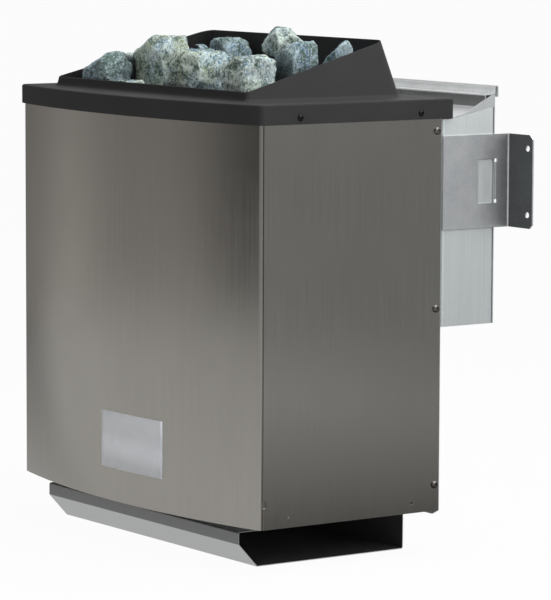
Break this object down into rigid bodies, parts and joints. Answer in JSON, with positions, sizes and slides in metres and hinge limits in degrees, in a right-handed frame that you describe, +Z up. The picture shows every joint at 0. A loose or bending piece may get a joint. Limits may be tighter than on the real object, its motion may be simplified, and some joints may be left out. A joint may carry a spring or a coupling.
{
  "type": "sauna heater stove",
  "caption": "Wall-hung electric sauna heater with a bowed brushed-steel casing, black hood over a pile of stones, open air trough below and a rear air duct with wall brackets.",
  "frame": {"origin": "bottom centre of the whole heater: under the middle of the air trough, half way between the front of the hood frame and the wall", "axes": "+X to the right as seen from the front, +Y back towards the wall, +Z up"},
  "size_m": [0.6106, 0.3874, 0.6165],
  "materials": {
    "stainless": "satin",
    "black_frame": "matte",
    "aluzinc": "satin",
    "galvanised": "matte",
    "heater_steel": "matte",
    "ceramic": "satin",
    "polyamide": "matte",
    "stone": "matte"
  },
  "bodies": {
    "root": {"front_panel": "stainless", "side_panel_right": "stainless", "side_panel_left": "stainless", "top_frame": "black_frame", "rear_panel": "aluzinc", "front_rail": "aluzinc", "rear_rail": "aluzinc", "air_trough": "aluzinc", "shaft_side_right": "aluzinc", "shaft_side_left": "aluzinc", "shaft_front": "aluzinc", "shaft_rear": "aluzinc", "grate_ledge_right": "aluzinc", "grate_ledge_left": "aluzinc", "element_comb_right": "aluzinc", "element_comb_left": "aluzinc", "terminal_box": "aluzinc", "terminal_cover": "aluzinc", "duct_cheek_right": "aluzinc", "duct_cheek_left": "aluzinc", "duct_back": "aluzinc", "deflector_rail": "aluzinc", "wall_bracket_right": "galvanised", "wall_bracket_left": "galvanised", "stone_grate": "heater_steel", "heating_element_1": "heater_steel", "heating_element_2": "heater_steel", "heating_element_3": "heater_steel", "terminal_block": "ceramic", "insulator_1": "ceramic", "insulator_2": "ceramic", "insulator_3": "ceramic", "insulator_4": "ceramic", "insulator_5": "ceramic", "insulator_6": "ceramic", "cable_gland": "polyamide", "gland_locknut": "polyamide", "stone_1": "stone", "stone_2": "stone", "stone_3": "stone", "stone_4": "stone", "stone_5": "stone", "stone_6": "stone", "stone_7": "stone", "stone_8": "stone", "stone_9": "stone", "stone_10": "stone", "stone_11": "stone", "stone_12": "stone", "stone_13": "stone", "stone_14": "stone", "stone_15": "stone", "stone_16": "stone", "stone_17": "stone", "stone_18": "stone", "stone_19": "stone", "stone_20": "stone", "stone_21": "stone", "stone_22": "stone"}
  },
  "joints": []
}
